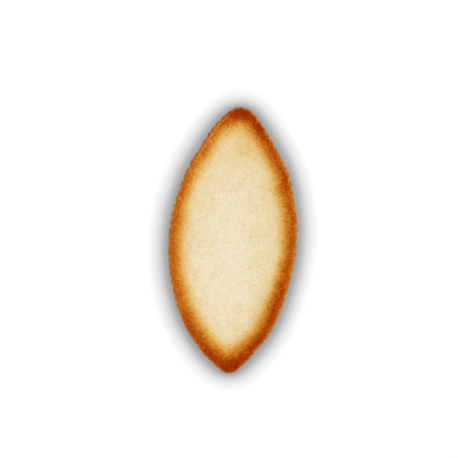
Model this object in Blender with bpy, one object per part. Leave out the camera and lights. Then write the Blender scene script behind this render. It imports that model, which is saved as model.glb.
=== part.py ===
"""A boat-shaped biscuit, modelled as one solid.

A thin, crisp biscuit with a pointed-oval outline. The underside is flat. The side bulges
a little above its foot and carries shallow upright flutes, and the shoulder rounds over
into a gently crowned top with a few shallow dimples.

Metres, +Z up. The origin is the middle of the underside and the long axis lies along Y,
with the blunter tip at +Y.
"""

import bisect
import math
import random

import bmesh
import bpy
from mathutils import Vector, geometry, kdtree, noise

MM = 0.001

# Overall size
LENGTH = 70.0 * MM
WIDTH = 33.5 * MM
THICKNESS = 5.6 * MM

# Plan outline: x = half width * cos(turn) ** taper, y = half length * sin(turn)
FAR_TAPER = 1.57
FAR_TIP_TAPER = 1.32
NEAR_TAPER = 1.32
NEAR_TIP_TAPER = 1.62
TIP_REACH = 6
# Where the dough spread or shrank in the oven: (turn in degrees, outward, spread in degrees)
SWELLS = (
    (31.0, 0.50 * MM, 9.0),
    (72.0, 0.32 * MM, 9.0),
    (88.0, -0.16 * MM, 14.0),
    (137.0, -0.48 * MM, 6.0),
    (-166.0, 0.30 * MM, 25.0),
    (-127.0, -0.30 * MM, 4.0),
    (-75.0, 0.45 * MM, 3.5),
    (-72.0, 0.46 * MM, 10.0),
    (-54.0, -0.48 * MM, 3.5),
    (-22.0, -0.48 * MM, 16.0),
)
WAVER = 0.10 * MM
WAVER_LENGTH = 6.0 * MM

# Side wall, from the flat underside up to the top
FOOT_INSET = 0.85 * MM
BELLY_HEIGHT = 1.7 * MM
SHOULDER_INSET = 1.7 * MM
SHOULDER_HEIGHT = 4.75 * MM
WALL_ROUNDNESS = 2.5
FOOT_STEPS = 3
SHOULDER_STEPS = 5
# The rings close towards a line along the middle this long, as a share of LENGTH
SPINE_SHARE = 0.86

# Flutes round the side, each standing out between two upright grooves
FLUTES = 79
POINTS_PER_FLUTE = 5
GROOVE_DEPTH = 0.30 * MM
GROOVE_DEPTH_SPREAD = 0.65
FLUTE_WIDTH_SPREAD = 0.26
FLUTE_SEED = 5
# A flute's crest leans towards the far tip, fully so beyond this share of the width
FLUTE_LEAN = 0.2
FULL_LEAN_BEYOND = 0.25
# Flutes are faint at the near end and full at the far one, changing between these places
FAINTEST_FLUTE = 0.4
FLUTES_GROW_BETWEEN = (-0.1, 0.3)
# Round the end of the far tip they fade again, between these places and to this share
FLUTES_FADE_BETWEEN = (0.45, 0.475)
FLUTES_LEFT_AT_TIP = 0.35
FLUTES_AT_FOOT = 0.3

# Top
CROWN_REACH = 15.0 * MM
UNEVENNESS = 0.10 * MM
UNEVEN_LENGTH = 8.0 * MM
DIMPLE_COUNT = 22
DIMPLE_RADIUS = (1.8 * MM, 3.2 * MM)
DIMPLE_DEPTH = (0.04 * MM, 0.12 * MM)
DIMPLE_FIELD = 0.75
DIMPLE_SEED = 12

# Mesh fineness
DENSE_POINTS = 4000
ROUNDING_PASSES = 3
TOP_SPACING = 1.0 * MM
UNDERSIDE_SPACING = 3.0 * MM
CLEAR_OF_EDGE = 0.6

CRUST_COLOUR = (0.72, 0.43, 0.16, 1.0)
CRUST_ROUGHNESS = 0.75


def smooth_step(low, high, value):
    """0 below low and 1 above high, with an even ramp between them."""
    share = min(1.0, max(0.0, (value - low) / (high - low)))
    return share * share * (3.0 - 2.0 * share)


def taper_at(rise):
    """The outline's taper where y is this share of the half length, from -1 to 1."""
    near_tip = abs(rise) ** TIP_REACH
    if rise > 0.0:
        return FAR_TAPER + (FAR_TIP_TAPER - FAR_TAPER) * near_tip
    return NEAR_TAPER + (NEAR_TIP_TAPER - NEAR_TAPER) * near_tip


def swell_at(turn):
    """How far the outline stands out of the plain curve at this turn."""
    total = 0.0
    for middle, outward, spread in SWELLS:
        apart = (math.degrees(turn) - middle + 180.0) % 360.0 - 180.0
        total += outward * math.exp(-((apart / spread) ** 2))
    return total


def plan_point(turn):
    """The point of the outline at this turn, without flutes."""
    rise = math.sin(turn)
    across = math.cos(turn)
    x = math.copysign(abs(across) ** taper_at(rise), across) * WIDTH / 2
    point = Vector((x, rise * LENGTH / 2))
    waver = WAVER * noise.noise(Vector((point.x, point.y, 0.0)) / WAVER_LENGTH)
    return point + point.normalized() * (swell_at(turn) + waver)


def points_round_outline(shares):
    """Points of the outline at these shares of the way round it."""
    dense = [plan_point(2 * math.pi * k / DENSE_POINTS) for k in range(DENSE_POINTS + 1)]
    travelled = [0.0]
    for before, after in zip(dense, dense[1:]):
        travelled.append(travelled[-1] + (after - before).length)
    points = []
    for share in shares:
        wanted = travelled[-1] * (share % 1.0)
        k = min(bisect.bisect_right(travelled, wanted), DENSE_POINTS) - 1
        part = (wanted - travelled[k]) / (travelled[k + 1] - travelled[k])
        points.append(dense[k].lerp(dense[k + 1], part))
    return points


def rounded(points):
    """A closed loop of points with its sharpest turns softened."""
    for _ in range(ROUNDING_PASSES):
        points = [
            (before + 2 * point + after) / 4
            for before, point, after in zip(points[-1:] + points, points, points[1:] + points[:1])
        ]
    return points


def flute_places(draw):
    """Places round the outline, as shares of the way, with POINTS_PER_FLUTE to each flute."""
    starts = []
    for k in range(FLUTES):
        starts.append((k + draw.uniform(-FLUTE_WIDTH_SPREAD, FLUTE_WIDTH_SPREAD)) / FLUTES)
    starts.append(starts[0] + 1.0)
    places = []
    for start, end in zip(starts, starts[1:]):
        for step in range(POINTS_PER_FLUTE):
            places.append(start + (end - start) * step / POINTS_PER_FLUTE)
    return places


def fluted_outline():
    """The outline flute by flute: its points, and how far the grooves cut in at each."""
    draw = random.Random(FLUTE_SEED)
    points = rounded(points_round_outline(flute_places(draw)))
    spread = GROOVE_DEPTH_SPREAD
    depths = [GROOVE_DEPTH * draw.uniform(1.0 - spread, 1.0 + spread) for _ in range(FLUTES)]
    cuts = []
    for k, point in enumerate(points):
        flute, step = divmod(k, POINTS_PER_FLUTE)
        across = step / POINTS_PER_FLUTE
        side = point.x / (FULL_LEAN_BEYOND * WIDTH)
        crest = 0.5 + FLUTE_LEAN * max(-1.0, min(1.0, side))
        if across < crest:
            depth = depths[flute]
            up = across / crest
        else:
            depth = depths[(flute + 1) % FLUTES]
            up = (1.0 - across) / (1.0 - crest)
        along = point.y / LENGTH
        strength = FAINTEST_FLUTE + (1.0 - FAINTEST_FLUTE) * smooth_step(*FLUTES_GROW_BETWEEN, along)
        strength *= 1.0 - (1.0 - FLUTES_LEFT_AT_TIP) * smooth_step(*FLUTES_FADE_BETWEEN, along)
        cuts.append(depth * strength * (1.0 - math.sin(math.pi / 2 * up)))
    return points, cuts


def wall_rows():
    """(inset, height, flute strength) up the side, from the underside's edge to the top's."""
    power = 2.0 / WALL_ROUNDNESS
    rows = []
    for k in range(FOOT_STEPS):
        turn = math.pi / 2 * (1.0 - k / FOOT_STEPS)
        out = math.cos(turn) ** power if k > 0 else 0.0
        height = BELLY_HEIGHT * (1.0 - math.sin(turn) ** power)
        fluting = FLUTES_AT_FOOT + (1.0 - FLUTES_AT_FOOT) * out
        rows.append((FOOT_INSET * (1.0 - out), height, fluting))
    for k in range(SHOULDER_STEPS + 1):
        turn = math.pi / 2 * k / SHOULDER_STEPS
        out = math.cos(turn) ** power if k < SHOULDER_STEPS else 0.0
        height = BELLY_HEIGHT + (SHOULDER_HEIGHT - BELLY_HEIGHT) * math.sin(turn) ** power
        rows.append((SHOULDER_INSET * (1.0 - out), height, out))
    return rows


def scattered_dimples():
    """(x, y, radius, depth) of each dimple in the top."""
    draw = random.Random(DIMPLE_SEED)
    dimples = []
    while len(dimples) < DIMPLE_COUNT:
        across = draw.uniform(-1.0, 1.0)
        along = draw.uniform(-1.0, 1.0)
        radius = draw.uniform(*DIMPLE_RADIUS)
        depth = draw.uniform(*DIMPLE_DEPTH)
        if abs(across) < DIMPLE_FIELD * (1.0 - along * along):
            dimples.append((across * WIDTH / 2, along * LENGTH / 2, radius, depth))
    return dimples


def relief(x, y, dimples):
    """The top's height at this place over a smooth crown."""
    place = Vector((x, y, 0.0)) / UNEVEN_LENGTH
    height = UNEVENNESS * noise.fractal(place, 1.0, 2.3, 3)
    for dimple_x, dimple_y, radius, depth in dimples:
        apart = math.hypot(x - dimple_x, y - dimple_y) / radius
        if apart < 1.0:
            height -= depth * (1.0 - apart * apart) ** 2
    return height


def top_height(x, y, inset, dimples):
    """The height of the top at this place, whose nearest distance to the outline is inset."""
    reach = min(1.0, max(0.0, inset - SHOULDER_INSET) / CROWN_REACH)
    crown = (THICKNESS - SHOULDER_HEIGHT) * (1.0 - (1.0 - reach) ** 2)
    return SHOULDER_HEIGHT + crown + relief(x, y, dimples)


def ring_positions(outline, cuts, row, dimples):
    """One ring of the loft: the outline moved in towards the spine and set at a height."""
    inset, height, fluting = row
    relief_share = smooth_step(BELLY_HEIGHT, SHOULDER_HEIGHT, height)
    positions = []
    for point, cut in zip(outline, cuts):
        inward = Vector((0.0, SPINE_SHARE * point.y)) - point
        place = point + inward.normalized() * (inset + fluting * cut)
        lift = relief_share * relief(place.x, place.y, dimples) if relief_share else 0.0
        positions.append(Vector((place.x, place.y, height + lift)))
    return positions


def loft(bm, rings):
    """Joins rings of equally many points, each to the next, and returns their vertices."""
    made = [[bm.verts.new(position) for position in ring] for ring in rings]
    for lower, upper in zip(made, made[1:]):
        for k in range(len(lower)):
            after = (k + 1) % len(lower)
            bm.faces.new((lower[k], lower[after], upper[after], upper[k]))
    return made


def inside_loop(point, loop):
    """Whether a point lies inside a closed loop of points, in plan."""
    inside = False
    for a, b in zip(loop, loop[1:] + loop[:1]):
        if (a.y > point.y) != (b.y > point.y):
            if point.x < a.x + (point.y - a.y) * (b.x - a.x) / (b.y - a.y):
                inside = not inside
    return inside


def lattice_inside(loop, spacing):
    """Points of a triangular lattice that lie inside the loop and clear of it."""
    edge = kdtree.KDTree(len(loop))
    for k, point in enumerate(loop):
        edge.insert((point.x, point.y, 0.0), k)
    edge.balance()
    row_gap = spacing * math.sqrt(3.0) / 2
    rows = math.ceil(LENGTH / 2 / row_gap)
    columns = math.ceil(WIDTH / 2 / spacing) + 1
    points = []
    for row in range(-rows, rows + 1):
        for column in range(-columns, columns + 1):
            point = Vector(((column + 0.5 * (row % 2)) * spacing, row * row_gap))
            clear = edge.find((point.x, point.y, 0.0))[2] > CLEAR_OF_EDGE * spacing
            if clear and inside_loop(point, loop):
                points.append(point)
    return points


def fill_loop(bm, loop_vertices, spacing, height_at, facing_up):
    """Closes a loop of vertices with a sheet of even triangles at the given heights."""
    loop = [Vector((vertex.co.x, vertex.co.y)) for vertex in loop_vertices]
    points = loop + lattice_inside(loop, spacing)
    edges = [(k, (k + 1) % len(loop)) for k in range(len(loop))]
    only_inside = 1
    placed, _, triangles, sources, _, _ = geometry.delaunay_2d_cdt(points, edges, [], only_inside, 1e-9)
    vertices = []
    for place, source in zip(placed, sources):
        if source and source[0] < len(loop):
            vertices.append(loop_vertices[source[0]])
        else:
            vertices.append(bm.verts.new((place.x, place.y, height_at(place.x, place.y))))
    for corners in triangles:
        ordered = corners if facing_up else reversed(corners)
        bm.faces.new([vertices[corner] for corner in ordered])


def centre_in_plan(bm):
    """Puts the middle of the biscuit's box over the origin."""
    across = [vertex.co.x for vertex in bm.verts]
    along = [vertex.co.y for vertex in bm.verts]
    middle = Vector(((min(across) + max(across)) / 2, (min(along) + max(along)) / 2, 0.0))
    bmesh.ops.translate(bm, vec=-middle, verts=bm.verts)


def build_biscuit_mesh():
    outline, cuts = fluted_outline()
    rim = kdtree.KDTree(len(outline))
    for k, point in enumerate(outline):
        rim.insert((point.x, point.y, 0.0), k)
    rim.balance()
    dimples = scattered_dimples()

    def crown_at(x, y):
        return top_height(x, y, rim.find((x, y, 0.0))[2], dimples)

    bm = bmesh.new()
    made = loft(bm, [ring_positions(outline, cuts, row, dimples) for row in wall_rows()])
    fill_loop(bm, made[-1], TOP_SPACING, crown_at, facing_up=True)
    fill_loop(bm, made[0], UNDERSIDE_SPACING, lambda x, y: 0.0, facing_up=False)
    centre_in_plan(bm)
    mesh = bpy.data.meshes.new("biscuit")
    bm.to_mesh(mesh)
    bm.free()
    mesh.shade_smooth()
    return mesh


def crust_material():
    material = bpy.data.materials.new("baked_crust")
    material.use_nodes = True
    shader = material.node_tree.nodes["Principled BSDF"]
    shader.inputs["Base Color"].default_value = CRUST_COLOUR
    shader.inputs["Roughness"].default_value = CRUST_ROUGHNESS
    shader.inputs["Metallic"].default_value = 0.0
    return material


def main():
    for old in list(bpy.data.objects):
        bpy.data.objects.remove(old)
    collection = bpy.data.collections.new("boat_shaped_biscuit")
    bpy.context.scene.collection.children.link(collection)
    biscuit = bpy.data.objects.new("biscuit", build_biscuit_mesh())
    biscuit.data.materials.append(crust_material())
    collection.objects.link(biscuit)


main()
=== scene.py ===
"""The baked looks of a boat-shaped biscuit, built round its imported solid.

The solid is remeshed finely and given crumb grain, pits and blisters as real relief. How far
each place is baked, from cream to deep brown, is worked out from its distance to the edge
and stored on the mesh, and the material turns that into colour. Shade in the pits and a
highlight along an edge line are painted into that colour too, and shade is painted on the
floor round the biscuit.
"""

import math
import random

import bpy
import numpy as np
from mathutils import Euler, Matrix, Vector, kdtree, noise


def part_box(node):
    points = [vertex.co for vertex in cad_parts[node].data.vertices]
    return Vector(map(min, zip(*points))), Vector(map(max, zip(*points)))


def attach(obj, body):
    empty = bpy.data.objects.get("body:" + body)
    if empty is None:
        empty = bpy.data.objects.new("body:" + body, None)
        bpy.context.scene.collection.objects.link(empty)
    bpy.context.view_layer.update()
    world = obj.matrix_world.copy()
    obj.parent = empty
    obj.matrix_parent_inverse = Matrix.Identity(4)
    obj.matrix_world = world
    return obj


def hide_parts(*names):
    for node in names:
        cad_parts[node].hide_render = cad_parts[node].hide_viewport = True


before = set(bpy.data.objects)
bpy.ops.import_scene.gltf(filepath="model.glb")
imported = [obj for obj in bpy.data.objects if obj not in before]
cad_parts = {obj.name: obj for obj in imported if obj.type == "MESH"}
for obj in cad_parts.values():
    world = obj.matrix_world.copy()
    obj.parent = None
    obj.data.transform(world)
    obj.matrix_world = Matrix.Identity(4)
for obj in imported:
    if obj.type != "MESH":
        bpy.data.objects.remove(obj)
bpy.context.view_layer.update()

MM = 0.001
SOLID = "biscuit"
LOWEST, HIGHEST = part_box(SOLID)
HALF_LENGTH = (HIGHEST.y - LOWEST.y) / 2
HALF_WIDTH = (HIGHEST.x - LOWEST.x) / 2
THICKNESS = HIGHEST.z - LOWEST.z

# Fineness of the shown surface, and how it is smoothed
VOXEL = 0.185 * MM
SMOOTHING_PASSES = 3
SMOOTHING_STRENGTH = 0.5
# What lies lower than this is the flat underside, where this share of the vertices is kept
UNDERSIDE_BELOW = VOXEL / 4
UNDERSIDE_KEPT = 0.28

# All noise is turned by these angles, so that its grid never lies along a face
NOISE_TILT = (0.5, 0.35, 0.8)

# Relief of the baked dough: (size of the bumps, height)
GRAIN = (0.95 * MM, 0.045 * MM)
FINE_GRAIN = (0.45 * MM, 0.024 * MM)
RIPPLE = (3.2 * MM, 0.040 * MM)
UNDERSIDE_GRAIN_SHARE = 0.5

# Small pits in the pale top: their number, radius, depth, and how many times wider they are across
# the biscuit than along it
TOP_PITS = (170, (0.14 * MM, 0.30 * MM), (0.03 * MM, 0.16 * MM))
PIT_STRETCH = 1.5
# Blisters where sugar bubbled in the browned rim: their number, radius, height
RIM_BLISTERS = (150, (0.18 * MM, 0.34 * MM), (0.02 * MM, 0.045 * MM))
# Shallow hollows where steam was caught under the dough: their number, radius, depth
UNDERSIDE_HOLLOWS = (170, (0.35 * MM, 0.95 * MM), (0.06 * MM, 0.18 * MM))
SCATTER_SEED = 31
# A pit or a blister lies where the surface's normal rises more than the first number. There the
# dough is baked less than the second for a pit, and more than it for a blister.
PIT_PLACES = (0.90, 0.35)
BLISTER_PLACES = (0.20, 0.50)

# How far the rim is baked, from 0 for cream to 1 for a deep brown, and how far in it reaches.
# Each is a middle value and what the right side, the far tip, both tips and the far right add.
RIM_BAKE = (0.96, 0.055, 0.04, 0.34, -0.08)
RIM_REACH = (2.91 * MM, 0.35 * MM, -0.70 * MM, -0.25 * MM, 0.61 * MM)
# The reach wavers over this length by this much, and the rim fades out over this distance
RIM_REACH_WOBBLE = (4.5 * MM, 0.25 * MM)
RIM_FADE = 0.93 * MM
# What the right side adds is full this far from the long middle line
FULL_SIDE = 0.7 * HALF_WIDTH
# The pale middle takes a little colour too: most near the rim, towards the far tip and on the right
CREAM_BAKE = 0.082
CREAM_BAKE_REACH = 14.0 * MM
CREAM_FAR_BAKE = 0.040
CREAM_RIGHT_BAKE = 0.013
# Heat from both sides adds up over this distance, which rounds off the pale middle's ends
HEAT_BLEND = 2.4 * MM
# The wall is less baked than the rim, and the shoulder grows from one to the other over this
# width. Both change round the biscuit as the rim's values do.
WALL_BAKE = (0.778, -0.032, 0.0, 0.18, -0.01)
SHOULDER_WIDTH = (1.7 * MM, 0.0, 0.0, -0.75 * MM, 0.0)
# The wall has a paler band along it: how much paler, and its height and spread as shares of the
# thickness
WALL_BAND_BAKE = -0.20
WALL_BAND_HEIGHT = 0.58
WALL_BAND_SPREAD = 0.28
# The underside's middle, the share of the rim's baking that its edge takes, and that edge's width
UNDERSIDE_BAKE = 0.40
UNDERSIDE_RIM_SHARE = 0.8
UNDERSIDE_RIM = 3.2 * MM
# The wall turns into the top, and into the underside, where its normal rises or falls this much
FACING = (0.25, 0.75)
# The outline is read off the wall at this height, give or take this much, from places whose
# normal rises or falls less than this. It has this many points, and is smoothed over this many of
# them to leave the flutes out.
OUTLINE_HEIGHT = 0.4 * THICKNESS
OUTLINE_SLICE = VOXEL / 2
OUTLINE_UPRIGHT = 0.5
OUTLINE_POINTS = 1600
OUTLINE_WINDOW = 27
# The flutes' ridges touched the mould and are browner than the grooves: what each millimetre that
# they stand out adds on the shoulder, how far in from the side this reaches, what it adds on the
# wall, and how much the wall's normal rises where this is full and where it ends
FLUTE_BAKE = 0.35 / MM
FLUTE_BAKE_REACH = 0.5 * MM
WALL_FLUTE_BAKE = 1.3 / MM
UPRIGHT = (0.05, 0.45)
# The far left shows the print of the mould's edge: a raised line, painted paler as a highlight
# along its ridge, with a browner strip outside it. Its turns, in degrees from the right, say where it
# begins and ends, and the strip fades out between two distances from the side.
EDGE_LINE_BEGINS = (92.0, 104.0)
EDGE_LINE_ENDS = (122.0, 160.0)
EDGE_LINE_INSET = 0.80 * MM
EDGE_LINE_WIDTH = 0.32 * MM
EDGE_LINE_HEIGHT = 0.06 * MM
EDGE_LINE_PAINTED_HIGHLIGHT = -0.19
EDGE_STRIP_FADE = (0.5 * EDGE_LINE_INSET, EDGE_LINE_INSET)
EDGE_STRIP_BAKE = 0.07
# Soft patches that the oven baked more or less than this. Each has its place as shares of half
# the width and half the length, its spread, and what it adds.
OVEN_PATCHES = (
    (0.65, -0.46, 4.5 * MM, 0.03),
    (0.76, -0.06, 3.0 * MM, -0.07),
    (0.76, 0.24, 3.0 * MM, -0.07),
    (0.26, 0.82, 3.0 * MM, 0.07),
    (-0.06, -0.85, 2.5 * MM, -0.15),
    (-0.29, 0.88, 2.5 * MM, -0.08),
    (-0.80, 0.13, 2.5 * MM, 0.07),
    (-0.58, -0.69, 2.8 * MM, 0.06),
    (0.74, 0.44, 2.5 * MM, 0.07),
    (-0.35, 0.74, 3.0 * MM, -0.03),
    (0.14, 0.70, 3.5 * MM, 0.06),
    (0.54, 0.57, 2.5 * MM, -0.04),
    (0.72, -0.23, 2.2 * MM, -0.07),
    (0.53, -0.58, 2.2 * MM, 0.07),
    (-0.83, -0.06, 2.2 * MM, 0.06),
    (0.08, -0.60, 4.5 * MM, 0.018),
    (0.02, 0.33, 5.5 * MM, 0.010),
)

# What the relief adds to the baking: the grain's bumps and the ripple's, in the rim and in the
# pale middle, a pit's bottom, painted darker as shade and most in the deepest pits, a blister's top
# and a hollow in the underside
RIM_GRAIN_BAKE = 0.11
RIM_RIPPLE_BAKE = 0.08
CREAM_GRAIN_BAKE = 0.042
CREAM_RIPPLE_BAKE = 0.028
PIT_PAINTED_SHADE = 0.16
BLISTER_BAKE = -0.22
HOLLOW_BAKE = -0.17
# The rim's relief shows in its colour from the first of these levels of baking, fully from the
# second
RIM_LOOK = (0.15, 0.70)

# Every noise in the material is this rough
NOISE_ROUGHNESS = 0.6
# Colour mottle of the crumb: its size and detail, its strength in the pale middle and in the rim,
# and the levels of baking where the first ends and the second begins
CRUMB_SIZE = 0.40 * MM
CRUMB_DETAIL = 3.0
CRUMB_MOTTLE = (0.28, 0.98)
CRUMB_LEVELS = (0.05, 0.70)
# Specks: how far apart, their radius, and how much more or less baked the strongest are
DARK_SPECKS = (1.8 * MM, 0.25 * MM, 0.27)
LIGHT_SPECKS = (1.1 * MM, 0.22 * MM, 0.34)
# The light ones come in between these levels of baking
LIGHT_SPECK_LEVELS = (0.30, 0.70)
# A speck's strength is full in this share of its radius. It is drawn at random, and a higher
# power makes strong ones rarer.
SPECK_CORE = 0.3
SPECK_POWER = 2.0
# A pale floury bloom in the pale middle: its size and detail, the most that there is of it, the
# values of its noise between which it comes in, and the levels of baking between which it ends
BLOOM_SIZE = 1.3 * MM
BLOOM_DETAIL = 2.0
BLOOM_SHARE = 0.34
BLOOM_CLOUDS = (0.5, 0.8)
BLOOM_LEVELS = (0.05, 0.30)
# Dry, matt finish: its roughness follows the crumb's noise between these values
CRUMB_NOISE = (0.3, 0.7)
ROUGHNESS = (0.62, 0.86)
SPECULAR = 0.02
BUMP_STRENGTH = 0.35
BUMP_HEIGHT = 0.06 * MM

# Camera: how far the far tip leans to the right, in degrees, the camera's distance, how far it
# sees, its sensor's width in millimetres, the width of what it shows, and where its middle lies
# from the biscuit's, as seen
CAMERA_LEAN = 3.03
CAMERA_DISTANCE = 1.2
CAMERA_SIGHT = 20.0
SENSOR_WIDTH = 36.0
SEEN_WIDTH = 119.95 * MM
SEEN_MIDDLE = (-0.99 * MM, 2.91 * MM)

# Light: the sky's brightness along the horizon and overhead, and the heights, as shares, between
# which it changes
HORIZON_BRIGHTNESS = 1.0
ZENITH_BRIGHTNESS = 0.35
SKY_HEIGHTS = (0.04, 0.40)
# The broad light overhead: its energy, its spread in degrees, the way to it, and its place
OVERHEAD_ENERGY = 2.1
OVERHEAD_SPREAD = 90.0
OVERHEAD_TOWARDS = (-0.05, 0.06, 1.0)
OVERHEAD_PLACE = (-0.3, 0.4, 1.5)
# The floor reaches this far each way, and lies a hair below the biscuit's underside, so that the
# two never share a plane
FLOOR_REACH = 6.0
FLOOR_HEIGHT = -0.02 * MM
# Painted shade on the floor close round the biscuit: how open a place is to the sky, and the
# colour painted there, a little cool to offset the warmth that the biscuit's brown side throws on it
FLOOR_SHADE_REACH = 6.5 * MM
FLOOR_SHADE_SAMPLES = 16
FLOOR_SHADE = (
    (0.52, (0.538, 0.608, 0.612)),
    (0.64, (0.472, 0.521, 0.540)),
    (0.73, (0.535, 0.574, 0.590)),
    (0.88, (0.798, 0.825, 0.838)),
    (1.00, (1.0, 1.0, 1.0)),
)


def linear(red, green, blue):
    """A linear colour for a display colour given from 0 to 255."""
    shares = (value / 255.0 for value in (red, green, blue))
    bent = [s / 12.92 if s <= 0.04045 else ((s + 0.055) / 1.055) ** 2.4 for s in shares]
    return tuple(bent)


# Display colours of the dough by how far it is baked; past 1 it begins to scorch
BAKE_COLOURS = (
    (0.00, linear(236, 223, 195)),
    (0.06, linear(231, 213, 172)),
    (0.17, linear(226, 195, 134)),
    (0.30, linear(220, 174, 93)),
    (0.46, linear(210, 147, 56)),
    (0.60, linear(200, 124, 35)),
    (0.72, linear(191, 105, 20)),
    (0.80, linear(184, 91, 11)),
    (0.89, linear(176, 77, 4)),
    (1.00, linear(159, 57, 0)),
    (1.15, linear(150, 46, 0)),
    (1.38, linear(139, 35, 0)),
)
DEEPEST_BAKE = BAKE_COLOURS[-1][0]
BLOOM_COLOUR = linear(246, 240, 226)


def smooth_step(low, high, values):
    """0 below low and 1 above high, with an even ramp between them."""
    share = np.clip((values - low) / (high - low), 0.0, 1.0)
    return share * share * (3.0 - 2.0 * share)


def apply_modifiers(obj):
    """Makes the object's mesh what its modifiers show."""
    depsgraph = bpy.context.evaluated_depsgraph_get()
    shown = bpy.data.meshes.new_from_object(obj.evaluated_get(depsgraph))
    obj.modifiers.clear()
    obj.data = shown


def coordinates(mesh, kind="co"):
    """Every vertex's position, or its normal, as rows of a table."""
    table = np.empty(len(mesh.vertices) * 3)
    mesh.vertices.foreach_get(kind, table)
    return table.reshape(-1, 3)


def set_coordinates(mesh, table):
    mesh.vertices.foreach_set("co", table.ravel())
    mesh.update()


def falls_off(distance, spread):
    """A smooth fall from 1 at no distance."""
    return np.exp(-((distance / spread) ** 2))


def turns_of(table):
    """The direction of each vertex from the middle, seen from above, as on a circle drawn out to
    the biscuit's length and width."""
    return np.arctan2(table[:, 1] / HALF_LENGTH, table[:, 0] / HALF_WIDTH)


def fine_copy_of_solid():
    """The solid's form as an even, fine mesh. It is remeshed in millimetres."""
    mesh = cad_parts[SOLID].data.copy()
    mesh.materials.clear()
    piece = bpy.data.objects.new("baked_biscuit", mesh)
    bpy.context.scene.collection.objects.link(piece)
    set_coordinates(mesh, coordinates(mesh) / MM)
    remesh = piece.modifiers.new("remesh", "REMESH")
    remesh.mode = "VOXEL"
    remesh.voxel_size = VOXEL / MM
    smooth = piece.modifiers.new("smooth", "SMOOTH")
    smooth.factor = SMOOTHING_STRENGTH
    smooth.iterations = SMOOTHING_PASSES
    apply_modifiers(piece)
    table = coordinates(piece.data) * MM
    table[:, 2] = np.maximum(table[:, 2], 0.0)
    set_coordinates(piece.data, table)
    return piece


def thin_out_underside(piece):
    """Fewer vertices on the flat underside, where there is the least to show."""
    group = piece.vertex_groups.new(name="underside")
    flat = coordinates(piece.data)[:, 2] < UNDERSIDE_BELOW
    group.add(np.nonzero(flat)[0].tolist(), 1.0, "REPLACE")
    thin = piece.modifiers.new("thin", "DECIMATE")
    thin.ratio = 1.0 - (1.0 - UNDERSIDE_KEPT) * flat.mean()
    thin.vertex_group = group.name
    apply_modifiers(piece)
    piece.vertex_groups.clear()


def nearest_in_plan(places, targets):
    """How far each place is from the nearest of the targets, seen from above."""
    tree = kdtree.KDTree(len(targets))
    for k, (x, y, _) in enumerate(targets):
        tree.insert((x, y, 0.0), k)
    tree.balance()
    return np.array([tree.find((x, y, 0.0))[2] for x, y, _ in places])


def smoothed_outline(table, normals):
    """The side's outline with its flutes smoothed over, as points, and how far the flutes stand out
    of it in each vertex's direction."""
    turns = turns_of(table)
    out = np.hypot(table[:, 0] / HALF_WIDTH, table[:, 1] / HALF_LENGTH)
    in_slice = np.abs(table[:, 2] - OUTLINE_HEIGHT) < OUTLINE_SLICE
    ring = in_slice & (np.abs(normals[:, 2]) < OUTLINE_UPRIGHT)
    steps = np.linspace(-np.pi, np.pi, OUTLINE_POINTS, endpoint=False)
    outline = np.interp(steps, turns[ring], out[ring], period=2.0 * np.pi)
    half_window = OUTLINE_WINDOW // 2
    neighbours = [np.roll(outline, k) for k in range(-half_window, half_window + 1)]
    smoothed = sum(neighbours) / OUTLINE_WINDOW
    across = smoothed * np.cos(steps) * HALF_WIDTH
    along = smoothed * np.sin(steps) * HALF_LENGTH
    steepness = np.hypot(np.cos(steps) / HALF_WIDTH, np.sin(steps) / HALF_LENGTH)
    flutes = np.interp(turns, steps, (outline - smoothed) / steepness, period=2.0 * np.pi)
    return np.column_stack((across, along, np.zeros(OUTLINE_POINTS))), flutes


def distances_to_sides(table, outline):
    """How far each vertex is from the outline's left side and from its right one, from above."""
    left = nearest_in_plan(table, outline[outline[:, 0] < 0.0])
    right = nearest_in_plan(table, outline[outline[:, 0] >= 0.0])
    return left, right


def edge_line(table, inset):
    """How much of the mould edge's raised line, which is painted paler as a highlight, and of the
    strip outside it, each vertex takes.
    """
    turns = np.degrees(turns_of(table))
    strength = smooth_step(*EDGE_LINE_BEGINS, turns) * (1.0 - smooth_step(*EDGE_LINE_ENDS, turns))
    line = strength * falls_off(inset - EDGE_LINE_INSET, EDGE_LINE_WIDTH)
    strip = strength * (1.0 - smooth_step(*EDGE_STRIP_FADE, inset))
    return line, strip


def bumps(table, size, shift=0.0):
    """Smooth noise from about -1 to 1 at every vertex, with bumps of this size. Another shift gives
    another noise."""
    tilt = np.array(Euler(NOISE_TILT).to_matrix())
    offset = Vector((shift, 2.0 * shift, -shift))
    return np.array([noise.noise(Vector(place) + offset) for place in table @ tilt / size])


def spots(table, centres, radii):
    """For each vertex, 1 at the middle of the nearest of these spots, falling to 0 at its edge,
    and which spot that is."""
    tree = kdtree.KDTree(len(centres))
    for k, centre in enumerate(centres):
        tree.insert(table[centre], k)
    tree.balance()
    strength = np.zeros(len(table))
    which = np.zeros(len(table), int)
    for k, place in enumerate(table):
        _, nearest, apart = tree.find(place)
        if apart < radii[nearest]:
            strength[k] = (1.0 - (apart / radii[nearest]) ** 2) ** 2
            which[k] = nearest
    return strength, which


def scattered_spots(table, allowed, setting, draw):
    """Spots drawn at random among the allowed vertices: each vertex's share of the nearest one's
    height, and that height."""
    count, radii, heights = setting
    places = np.nonzero(allowed)[0]
    centres = [int(places[draw.randrange(len(places))]) for _ in range(count)]
    radius = [draw.uniform(*radii) for _ in centres]
    height = np.array([draw.uniform(*heights) for _ in centres])
    strength, which = spots(table, centres, radius)
    return strength, height[which]


def around(setting, side, rise):
    """A value that changes round the biscuit: its middle value, and what the right side, the
    far tip, both tips and the far right add. The left side and the near tip take away what the
    right side and the far tip add."""
    middle, right, far, tips, far_right = setting
    return middle + right * side + far * rise + tips * np.abs(rise) ** 3 + far_right * side * rise


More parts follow.
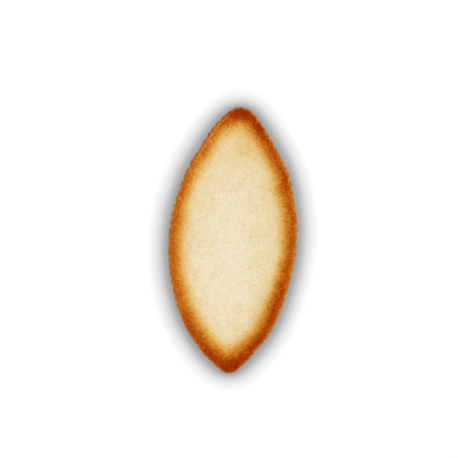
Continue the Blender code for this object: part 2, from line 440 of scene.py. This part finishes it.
def oven_patches(table):
    """What the soft patches of the oven's heat add at each vertex."""
    added = np.zeros(len(table))
    for across, along, spread, amount in OVEN_PATCHES:
        apart = np.hypot(table[:, 0] - across * HALF_WIDTH, table[:, 1] - along * HALF_LENGTH)
        added += amount * falls_off(apart, spread)
    return added


def bake_depth(table, normals, left, right, flutes):
    """How far each vertex is baked, from 0 for cream to 1 for a deep brown."""
    nearest = np.minimum(left, right)
    heated = -HEAT_BLEND * np.log(np.exp(-left / HEAT_BLEND) + np.exp(-right / HEAT_BLEND))
    side = np.clip(table[:, 0] / FULL_SIDE, -1.0, 1.0)
    rise = table[:, 1] / HALF_LENGTH
    rim = around(RIM_BAKE, side, rise)
    wobble_size, wobble = RIM_REACH_WOBBLE
    reach = around(RIM_REACH, side, rise) + wobble * bumps(table, wobble_size, shift=7.0)
    from_edge = 1.0 / (1.0 + np.exp((heated - reach) / RIM_FADE))
    cream = CREAM_BAKE * falls_off(heated, CREAM_BAKE_REACH)
    cream = cream + CREAM_FAR_BAKE * rise + CREAM_RIGHT_BAKE * side
    wall = around(WALL_BAKE, side, rise)
    on_top = wall + (rim - wall) * smooth_step(0.0, around(SHOULDER_WIDTH, side, rise), nearest)
    on_top = on_top * from_edge + cream * (1.0 - from_edge) + oven_patches(table)
    on_top = on_top + FLUTE_BAKE * flutes * falls_off(nearest, FLUTE_BAKE_REACH)
    height = table[:, 2] / THICKNESS
    on_wall = wall + WALL_BAND_BAKE * falls_off(height - WALL_BAND_HEIGHT, WALL_BAND_SPREAD)
    on_wall = on_wall + WALL_FLUTE_BAKE * flutes * (1.0 - smooth_step(*UPRIGHT, normals[:, 2]))
    edge_share = falls_off(nearest, UNDERSIDE_RIM)
    underneath = UNDERSIDE_BAKE + (UNDERSIDE_RIM_SHARE * rim - UNDERSIDE_BAKE) * edge_share
    facing_up = smooth_step(*FACING, normals[:, 2])
    facing_down = smooth_step(*FACING, -normals[:, 2])
    return on_wall * (1.0 - facing_up - facing_down) + on_top * facing_up + underneath * facing_down


def bake(piece):
    """Adds the relief and stores on the mesh how far each vertex is baked, with shade painted
    into the pits and a highlight painted along the edge line.
    """
    draw = random.Random(SCATTER_SEED)
    mesh = piece.data
    table = coordinates(mesh)
    normals = coordinates(mesh, "normal")
    outline, flutes = smoothed_outline(table, normals)
    left, right = distances_to_sides(table, outline)
    level = bake_depth(table, normals, left, right, flutes)
    line, strip = edge_line(table, np.minimum(left, right))
    grain = bumps(table, GRAIN[0])
    fine = bumps(table, FINE_GRAIN[0], shift=3.0)
    ripple = bumps(table, RIPPLE[0], shift=11.0)

    pale = (normals[:, 2] > PIT_PLACES[0]) & (level < PIT_PLACES[1])
    squeezed = table / (PIT_STRETCH, 1.0, 1.0)
    pit, pit_depth = scattered_spots(squeezed, pale, TOP_PITS, draw)
    browned = (normals[:, 2] > BLISTER_PLACES[0]) & (level > BLISTER_PLACES[1])
    blister, blister_height = scattered_spots(table, browned, RIM_BLISTERS, draw)
    underside = table[:, 2] < UNDERSIDE_BELOW
    hollow, hollow_depth = scattered_spots(table, underside, UNDERSIDE_HOLLOWS, draw)

    relief = GRAIN[1] * grain + FINE_GRAIN[1] * fine + RIPPLE[1] * ripple + EDGE_LINE_HEIGHT * line
    relief = relief * np.where(underside, UNDERSIDE_GRAIN_SHARE, 1.0)
    relief = relief - pit_depth * pit + blister_height * blister - hollow_depth * hollow
    moved = table + normals * relief[:, None]
    moved[:, 2] = np.maximum(moved[:, 2], 0.0)
    set_coordinates(mesh, moved)

    in_rim = smooth_step(*RIM_LOOK, level)
    rim_mottle = RIM_GRAIN_BAKE * grain + RIM_RIPPLE_BAKE * ripple
    cream_mottle = CREAM_GRAIN_BAKE * grain + CREAM_RIPPLE_BAKE * ripple
    level = level + in_rim * rim_mottle + (1.0 - in_rim) * cream_mottle
    # Painted shade: pits are darkened, the more the deeper they are
    deepest_pit = TOP_PITS[2][1]
    level = level + PIT_PAINTED_SHADE * pit * (pit_depth / deepest_pit) + BLISTER_BAKE * blister
    # The edge line is painted paler, as a highlight along its ridge
    level = level + EDGE_LINE_PAINTED_HIGHLIGHT * line + EDGE_STRIP_BAKE * strip + HOLLOW_BAKE * hollow
    # The stored level also holds the painted shade in the pits and the painted highlight on the edge
    # line
    attribute = mesh.attributes.new("bake", "FLOAT", "POINT")
    attribute.data.foreach_set("value", level.astype(np.float32))


def new_material(name):
    material = bpy.data.materials.new(name)
    material.use_nodes = True
    nodes = material.node_tree.nodes
    return material, nodes, material.node_tree.links, nodes["Principled BSDF"]


def set_stops(ramp, stops):
    """Gives a colour ramp these stops, each a position and a linear colour."""
    ramp.elements[1].position = 1.0
    for position, _ in stops[1:-1]:
        ramp.elements.new(position)
    for element, (position, colour) in zip(ramp.elements, stops):
        element.position = position
        element.color = (*colour, 1.0)


def math_node(nodes, links, operation, first, second):
    """A Math node's result from two values, each a socket or a number."""
    node = nodes.new("ShaderNodeMath")
    node.operation = operation
    for socket, value in zip(node.inputs, (first, second)):
        if isinstance(value, float):
            socket.default_value = value
        else:
            links.new(value, socket)
    return node.outputs["Value"]


def range_node(nodes, links, value, from_range, to_range):
    """A Map Range node's result, with ends held."""
    node = nodes.new("ShaderNodeMapRange")
    node.inputs["From Min"].default_value, node.inputs["From Max"].default_value = from_range
    node.inputs["To Min"].default_value, node.inputs["To Max"].default_value = to_range
    links.new(value, node.inputs["Value"])
    return node.outputs["Result"]


def noise_node(nodes, links, place, size, detail):
    """Noise from 0 to 1 with features of this size."""
    node = nodes.new("ShaderNodeTexNoise")
    node.inputs["Scale"].default_value = 1 / size
    node.inputs["Detail"].default_value = detail
    node.inputs["Roughness"].default_value = NOISE_ROUGHNESS
    links.new(place, node.inputs["Vector"])
    return node.outputs["Fac"]


def mixed(nodes, links, share, colour, other):
    """A colour socket with this share of another colour, a fixed one, in it."""
    node = nodes.new("ShaderNodeMix")
    node.data_type = "RGBA"
    sockets = {socket.identifier: socket for socket in (*node.inputs, *node.outputs)}
    links.new(share, sockets["Factor_Float"])
    links.new(colour, sockets["A_Color"])
    sockets["B_Color"].default_value = (*other, 1.0)
    return sockets["Result_Color"]


def specks(nodes, links, place, spacing, radius):
    """Small specks scattered this far apart. Their strength at the middle is drawn from 0 to 1,
    weak ones being the most common, and it falls to 0 at their edge."""
    cells = nodes.new("ShaderNodeTexVoronoi")
    cells.inputs["Scale"].default_value = 1 / spacing
    links.new(place, cells.inputs["Vector"])
    edge = radius / spacing
    fade = (SPECK_CORE * edge, edge)
    spot = range_node(nodes, links, cells.outputs["Distance"], fade, (1.0, 0.0))
    parts = nodes.new("ShaderNodeSeparateColor")
    links.new(cells.outputs["Color"], parts.inputs["Color"])
    drawn = math_node(nodes, links, "POWER", parts.outputs["Red"], SPECK_POWER)
    return math_node(nodes, links, "MULTIPLY", spot, drawn)


def baked_level(nodes, links, level, crumb, place):
    """How far a place is baked, with the crumb's mottle and the specks in it."""
    centred = math_node(nodes, links, "SUBTRACT", crumb, 0.5)
    strength = range_node(nodes, links, level, CRUMB_LEVELS, CRUMB_MOTTLE)
    mottle = math_node(nodes, links, "MULTIPLY", centred, strength)
    mottled = math_node(nodes, links, "ADD", level, mottle)

    spacing, radius, amount = DARK_SPECKS
    dark = specks(nodes, links, place, spacing, radius)
    darker = math_node(nodes, links, "MULTIPLY", dark, amount)
    with_dark = math_node(nodes, links, "ADD", mottled, darker)

    spacing, radius, amount = LIGHT_SPECKS
    light = specks(nodes, links, place, spacing, radius)
    in_rim = range_node(nodes, links, level, LIGHT_SPECK_LEVELS, (0.0, amount))
    lighter = math_node(nodes, links, "MULTIPLY", light, in_rim)
    return math_node(nodes, links, "SUBTRACT", with_dark, lighter)


def crust_colour(nodes, links, level):
    """The dough's colour for how far it is baked."""
    colours = nodes.new("ShaderNodeValToRGB")
    stops = [(position / DEEPEST_BAKE, colour) for position, colour in BAKE_COLOURS]
    set_stops(colours.color_ramp, stops)
    links.new(math_node(nodes, links, "DIVIDE", level, DEEPEST_BAKE), colours.inputs["Fac"])
    return colours.outputs["Color"]


def bloom_share(nodes, links, level, place):
    """How much floury bloom lies on a place."""
    clouds = noise_node(nodes, links, place, BLOOM_SIZE, BLOOM_DETAIL)
    cloudy = range_node(nodes, links, clouds, BLOOM_CLOUDS, (0.0, 1.0))
    in_cream = range_node(nodes, links, level, BLOOM_LEVELS, (BLOOM_SHARE, 0.0))
    return math_node(nodes, links, "MULTIPLY", cloudy, in_cream)


def crust_material():
    """Baked dough: its colour follows how far it is baked, with a fine crumb and specks over that."""
    material, nodes, links, shader = new_material("baked_dough")
    attribute = nodes.new("ShaderNodeAttribute")
    attribute.attribute_name = "bake"
    stored = attribute.outputs["Fac"]
    tilted = nodes.new("ShaderNodeMapping")
    tilted.inputs["Rotation"].default_value = NOISE_TILT
    links.new(nodes.new("ShaderNodeTexCoord").outputs["Object"], tilted.inputs["Vector"])
    place = tilted.outputs["Vector"]
    crumb = noise_node(nodes, links, place, CRUMB_SIZE, CRUMB_DETAIL)

    colour = crust_colour(nodes, links, baked_level(nodes, links, stored, crumb, place))
    bloom = bloom_share(nodes, links, stored, place)
    bloomed = mixed(nodes, links, bloom, colour, BLOOM_COLOUR)
    links.new(bloomed, shader.inputs["Base Color"])

    roughness = range_node(nodes, links, crumb, CRUMB_NOISE, ROUGHNESS)
    links.new(roughness, shader.inputs["Roughness"])
    shader.inputs["Specular IOR Level"].default_value = SPECULAR

    bump = nodes.new("ShaderNodeBump")
    bump.inputs["Strength"].default_value = BUMP_STRENGTH
    bump.inputs["Distance"].default_value = BUMP_HEIGHT
    links.new(crumb, bump.inputs["Height"])
    links.new(bump.outputs["Normal"], shader.inputs["Normal"])
    return material


def floor():
    """The plain pale surface that the biscuit lies on, with soft grey shade painted close round it.
    """
    mesh = bpy.data.meshes.new("floor")
    ways = ((-1, -1), (1, -1), (1, 1), (-1, 1))
    corners = [(x * FLOOR_REACH, y * FLOOR_REACH, FLOOR_HEIGHT) for x, y in ways]
    mesh.from_pydata(corners, [], [(0, 1, 2, 3)])
    plane = bpy.data.objects.new("floor", mesh)
    bpy.context.scene.collection.objects.link(plane)
    material, nodes, links, shader = new_material("white_floor")
    # Painted shade: the floor's colour darkens where the biscuit hides the sky
    shade = nodes.new("ShaderNodeAmbientOcclusion")
    shade.samples = FLOOR_SHADE_SAMPLES
    shade.inputs["Distance"].default_value = FLOOR_SHADE_REACH
    colours = nodes.new("ShaderNodeValToRGB")
    set_stops(colours.color_ramp, FLOOR_SHADE)
    links.new(shade.outputs["AO"], colours.inputs["Fac"])
    links.new(colours.outputs["Color"], shader.inputs["Base Color"])
    shader.inputs["Roughness"].default_value = 1.0
    shader.inputs["Specular IOR Level"].default_value = 0.0
    mesh.materials.append(material)


def sky():
    """A soft sky, brightest along the horizon."""
    world = bpy.data.worlds.new("studio")
    world.use_nodes = True
    nodes = world.node_tree.nodes
    links = world.node_tree.links
    direction = nodes.new("ShaderNodeTexCoord")
    parts = nodes.new("ShaderNodeSeparateXYZ")
    links.new(direction.outputs["Generated"], parts.inputs["Vector"])
    ends = (HORIZON_BRIGHTNESS, ZENITH_BRIGHTNESS)
    brightness = range_node(nodes, links, parts.outputs["Z"], SKY_HEIGHTS, ends)
    background = nodes["Background"]
    background.inputs["Color"].default_value = (1.0, 1.0, 1.0, 1.0)
    links.new(brightness, background.inputs["Strength"])
    bpy.context.scene.world = world


def overhead_light():
    """A very broad soft light overhead, a little towards the far left."""
    lamp = bpy.data.lights.new("overhead_light", "SUN")
    lamp.energy = OVERHEAD_ENERGY
    lamp.angle = math.radians(OVERHEAD_SPREAD)
    holder = bpy.data.objects.new("overhead_light", lamp)
    holder.location = OVERHEAD_PLACE
    holder.rotation_euler = Vector(OVERHEAD_TOWARDS).to_track_quat("Z", "Y").to_euler()
    bpy.context.scene.collection.objects.link(holder)


def camera():
    """Straight down on the biscuit through a long lens, with its far tip leaning to the right."""
    lean = math.radians(CAMERA_LEAN)
    across, along = SEEN_MIDDLE
    eye = bpy.data.cameras.new("camera")
    eye.sensor_width = SENSOR_WIDTH
    eye.lens = SENSOR_WIDTH * CAMERA_DISTANCE / SEEN_WIDTH
    eye.clip_end = CAMERA_SIGHT
    holder = bpy.data.objects.new("camera", eye)
    holder.rotation_euler = (0.0, 0.0, lean)
    middle = (LOWEST + HIGHEST) / 2
    holder.location = (
        middle.x + across * math.cos(lean) - along * math.sin(lean),
        middle.y + across * math.sin(lean) + along * math.cos(lean),
        CAMERA_DISTANCE,
    )
    bpy.context.scene.collection.objects.link(holder)
    bpy.context.scene.camera = holder


def main():
    biscuit = fine_copy_of_solid()
    thin_out_underside(biscuit)
    bake(biscuit)
    biscuit.data.shade_smooth()
    biscuit.data.materials.append(crust_material())
    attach(biscuit, "root")
    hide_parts(SOLID)
    floor()
    sky()
    overhead_light()
    camera()
    bpy.context.scene.view_settings.view_transform = "Standard"


main()
